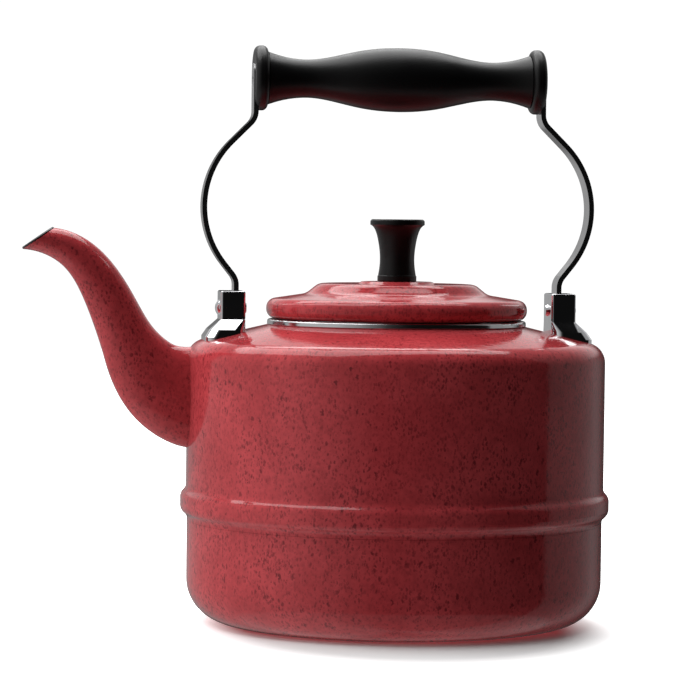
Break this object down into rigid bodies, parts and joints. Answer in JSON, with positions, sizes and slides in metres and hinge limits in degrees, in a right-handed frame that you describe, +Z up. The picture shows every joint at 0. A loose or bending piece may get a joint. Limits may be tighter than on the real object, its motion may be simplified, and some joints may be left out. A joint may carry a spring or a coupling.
{
  "type": "stovetop kettle",
  "caption": "Round enamelled stovetop kettle with a gooseneck spout, a lift-off lid with a knob, and a fixed turned grip on two bent steel straps.",
  "frame": {"origin": "centre of the flat base, on the surface that it stands on", "axes": "+Z up, -X towards the spout's mouth, the handle lies in the XZ plane, +Y completes the right-handed frame"},
  "size_m": [0.2407, 0.1758, 0.235],
  "materials": {
    "red_enamel": "gloss",
    "black_enamel": "gloss",
    "polished_steel": "polished",
    "chrome_plating": "polished",
    "plain_steel": "satin",
    "black_phenolic": "satin",
    "brass": "satin",
    "silicone": "matte"
  },
  "bodies": {
    "kettle": {"upper_shell": "red_enamel", "base_pan": "red_enamel", "spout": "red_enamel", "spout_lip": "black_enamel", "neck_ring": "polished_steel", "lug_front": "chrome_plating", "lug_rear": "chrome_plating", "lug_seals": "silicone", "lug_washers": "plain_steel", "lug_bolts": "plain_steel", "strap_front": "polished_steel", "strap_rear": "polished_steel", "strap_rivets": "chrome_plating", "grip": "black_phenolic", "grip_inserts": "brass", "grip_screws": "plain_steel"},
    "lid": {"lid_shell": "red_enamel", "lid_skirt": "polished_steel", "knob": "black_phenolic", "knob_ferrule": "black_phenolic", "knob_insert": "brass", "knob_washer": "plain_steel", "knob_screw": "plain_steel", "whistle_cup": "plain_steel", "whistle_disc": "plain_steel"}
  },
  "joints": [
    {"name": "lid_lift", "type": "slide", "parent": "kettle", "child": "lid", "axis": [0, 0, 1], "range_m": [0, 0.042]}
  ]
}
